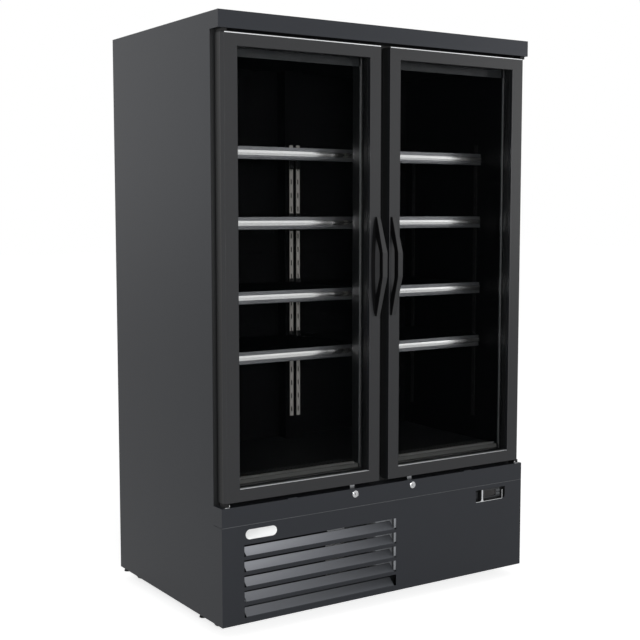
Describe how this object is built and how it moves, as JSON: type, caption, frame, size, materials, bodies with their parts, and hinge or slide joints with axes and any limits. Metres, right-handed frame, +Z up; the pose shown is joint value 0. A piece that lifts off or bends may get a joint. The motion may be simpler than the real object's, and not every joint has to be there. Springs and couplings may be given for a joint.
{
  "type": "glass door refrigerator",
  "caption": "Upright display refrigerator with two hinged glass doors with bow handles over a louvred base panel, with shelves, locks, refrigerating unit and castors",
  "frame": {"origin": "on the floor, under the middle of the bounding box, with the doors shut", "axes": "+Z up, the doors face -Y, +X to the right of someone facing the doors"},
  "size_m": [1.2, 0.788, 1.866],
  "materials": {
    "cabinet_sheet": "fine-textured black powder coat",
    "door_paint": "satin black",
    "frame_black": "black moulding",
    "liner_paint": "black liner",
    "foam": "rigid foam",
    "glass": "clear",
    "rubber_black": "soft seal",
    "zinc": "zinc plated",
    "lock_chrome": "polished",
    "strip_white": "clear-fronted pale strip",
    "lamp_lens": "diffusing",
    "lamp_metal": "satin",
    "coil_metal": "fins",
    "compressor_black": "black enamel",
    "fan_plastic": "moulded",
    "tray_plastic": "moulded",
    "galvanised": "galvanised sheet",
    "pocket_plastic": "moulded",
    "switch_red": "gloss",
    "controller_plastic": "gloss",
    "wheel_grey": "hard tread"
  },
  "bodies": {
    "cabinet": {"left_side_panel": "cabinet_sheet", "right_side_panel": "cabinet_sheet", "top_panel": "cabinet_sheet", "back_panel": "galvanised", "insulated_body": "foam", "inner_liner": "liner_paint", "front_frame": "frame_black", "centre_mullion": "frame_black", "top_fascia": "cabinet_sheet", "rear_air_wall": "liner_paint", "shelf_rails": "zinc", "shelf_clips": "zinc", "left_shelves": "zinc", "right_shelves": "zinc", "price_strips": "strip_white", "floor_deck": "liner_paint", "lamp_housings": "lamp_metal", "strip_lamps": "lamp_lens", "evaporator_coil": "coil_metal", "evaporator_fan_cowl": "galvanised", "base_pan": "galvanised", "compressor": "compressor_black", "condenser_coil": "coil_metal", "condenser_fan_cowl": "galvanised", "evaporating_tray": "tray_plastic", "electrical_box": "galvanised", "lower_front_panel": "cabinet_sheet", "lock_strip": "cabinet_sheet", "control_pocket": "pocket_plastic", "temperature_controller": "controller_plastic", "door_hinges": "zinc"},
    "left_door": {"left_door_front_frame": "door_paint", "left_door_rear_frame": "frame_black", "left_door_glass": "glass", "left_door_gasket": "rubber_black", "left_door_handle": "frame_black"},
    "left_lock_plug": {"left_lock_plug": "lock_chrome"},
    "left_lock_bolt": {"left_lock_bolt": "zinc"},
    "right_door": {"right_door_front_frame": "door_paint", "right_door_rear_frame": "frame_black", "right_door_glass": "glass", "right_door_gasket": "rubber_black", "right_door_handle": "frame_black"},
    "right_lock_plug": {"right_lock_plug": "lock_chrome"},
    "right_lock_bolt": {"right_lock_bolt": "zinc"},
    "rocker_switch": {"rocker_switch": "switch_red"},
    "evaporator_fan": {"evaporator_fan": "fan_plastic"},
    "condenser_fan": {"condenser_fan": "fan_plastic"},
    "front_left_castor_fork": {"front_left_castor_fork": "zinc"},
    "front_left_castor_wheel": {"front_left_castor_wheel": "wheel_grey"},
    "front_left_levelling_foot": {"front_left_levelling_foot": "zinc"},
    "front_right_castor_fork": {"front_right_castor_fork": "zinc"},
    "front_right_castor_wheel": {"front_right_castor_wheel": "wheel_grey"},
    "front_right_levelling_foot": {"front_right_levelling_foot": "zinc"},
    "rear_left_castor_fork": {"rear_left_castor_fork": "zinc"},
    "rear_left_castor_wheel": {"rear_left_castor_wheel": "wheel_grey"},
    "rear_left_levelling_foot": {"rear_left_levelling_foot": "zinc"},
    "rear_right_castor_fork": {"rear_right_castor_fork": "zinc"},
    "rear_right_castor_wheel": {"rear_right_castor_wheel": "wheel_grey"},
    "rear_right_levelling_foot": {"rear_right_levelling_foot": "zinc"}
  },
  "joints": [
    {"name": "left_door_hinge", "type": "hinge", "parent": "cabinet", "child": "left_door", "pos_m": [-0.579, -0.3313, 0.417], "axis": [0, 0, -1], "range_deg": [0, 110]},
    {"name": "right_door_hinge", "type": "hinge", "parent": "cabinet", "child": "right_door", "pos_m": [0.579, -0.3313, 0.417], "axis": [0, 0, 1], "range_deg": [0, 110]},
    {"name": "left_lock_turn", "type": "hinge", "parent": "cabinet", "child": "left_lock_plug", "pos_m": [-0.1155, -0.354, 0.3872], "axis": [0, -1, 0], "range_deg": [0, 90]},
    {"name": "right_lock_turn", "type": "hinge", "parent": "cabinet", "child": "right_lock_plug", "pos_m": [0.1155, -0.354, 0.3872], "axis": [0, 1, 0], "range_deg": [0, 90]},
    {"name": "left_bolt_slide", "type": "slide", "parent": "cabinet", "child": "left_lock_bolt", "axis": [0, 0, 1], "range_m": [0, 0.006]},
    {"name": "right_bolt_slide", "type": "slide", "parent": "cabinet", "child": "right_lock_bolt", "axis": [0, 0, 1], "range_m": [0, 0.006]},
    {"name": "rocker_tip", "type": "hinge", "parent": "cabinet", "child": "rocker_switch", "pos_m": [0.4035, -0.336, 0.30975], "axis": [-1, 0, 0], "range_deg": [0, 16]},
    {"name": "condenser_fan_spin", "type": "hinge", "parent": "cabinet", "child": "condenser_fan", "pos_m": [-0.34, -0.227, 0.183], "axis": [0, 1, 0], "continuous": true},
    {"name": "evaporator_fan_spin", "type": "hinge", "parent": "cabinet", "child": "evaporator_fan", "pos_m": [0, 0.289, 0.392], "axis": [1, 0, 0], "continuous": true},
    {"name": "front_left_castor_swivel", "type": "hinge", "parent": "cabinet", "child": "front_left_castor_fork", "pos_m": [-0.546, -0.249, 0.08], "axis": [0, 0, 1], "continuous": true},
    {"name": "front_left_castor_roll", "type": "hinge", "parent": "front_left_castor_fork", "child": "front_left_castor_wheel", "pos_m": [-0.546, -0.229, 0.025], "axis": [1, 0, 0], "continuous": true},
    {"name": "front_left_foot_screw", "type": "slide", "parent": "cabinet", "child": "front_left_levelling_foot", "axis": [0, 0, 1], "range_m": [-0.027, 0.006]},
    {"name": "front_right_castor_swivel", "type": "hinge", "parent": "cabinet", "child": "front_right_castor_fork", "pos_m": [0.546, -0.249, 0.08], "axis": [0, 0, 1], "continuous": true},
    {"name": "front_right_castor_roll", "type": "hinge", "parent": "front_right_castor_fork", "child": "front_right_castor_wheel", "pos_m": [0.546, -0.229, 0.025], "axis": [1, 0, 0], "continuous": true},
    {"name": "front_right_foot_screw", "type": "slide", "parent": "cabinet", "child": "front_right_levelling_foot", "axis": [0, 0, 1], "range_m": [-0.027, 0.006]},
    {"name": "rear_left_castor_swivel", "type": "hinge", "parent": "cabinet", "child": "rear_left_castor_fork", "pos_m": [-0.546, 0.324, 0.08], "axis": [0, 0, 1], "continuous": true},
    {"name": "rear_left_castor_roll", "type": "hinge", "parent": "rear_left_castor_fork", "child": "rear_left_castor_wheel", "pos_m": [-0.546, 0.344, 0.025], "axis": [1, 0, 0], "continuous": true},
    {"name": "rear_left_foot_screw", "type": "slide", "parent": "cabinet", "child": "rear_left_levelling_foot", "axis": [0, 0, 1], "range_m": [-0.027, 0.006]},
    {"name": "rear_right_castor_swivel", "type": "hinge", "parent": "cabinet", "child": "rear_right_castor_fork", "pos_m": [0.546, 0.324, 0.08], "axis": [0, 0, 1], "continuous": true},
    {"name": "rear_right_castor_roll", "type": "hinge", "parent": "rear_right_castor_fork", "child": "rear_right_castor_wheel", "pos_m": [0.546, 0.344, 0.025], "axis": [1, 0, 0], "continuous": true},
    {"name": "rear_right_foot_screw", "type": "slide", "parent": "cabinet", "child": "rear_right_levelling_foot", "axis": [0, 0, 1], "range_m": [-0.027, 0.006]}
  ],
  "couplings": [
    {"joint": "left_lock_turn", "follows": "left_bolt_slide", "rad_per_m": 261.8},
    {"joint": "right_lock_turn", "follows": "right_bolt_slide", "rad_per_m": 261.8}
  ]
}
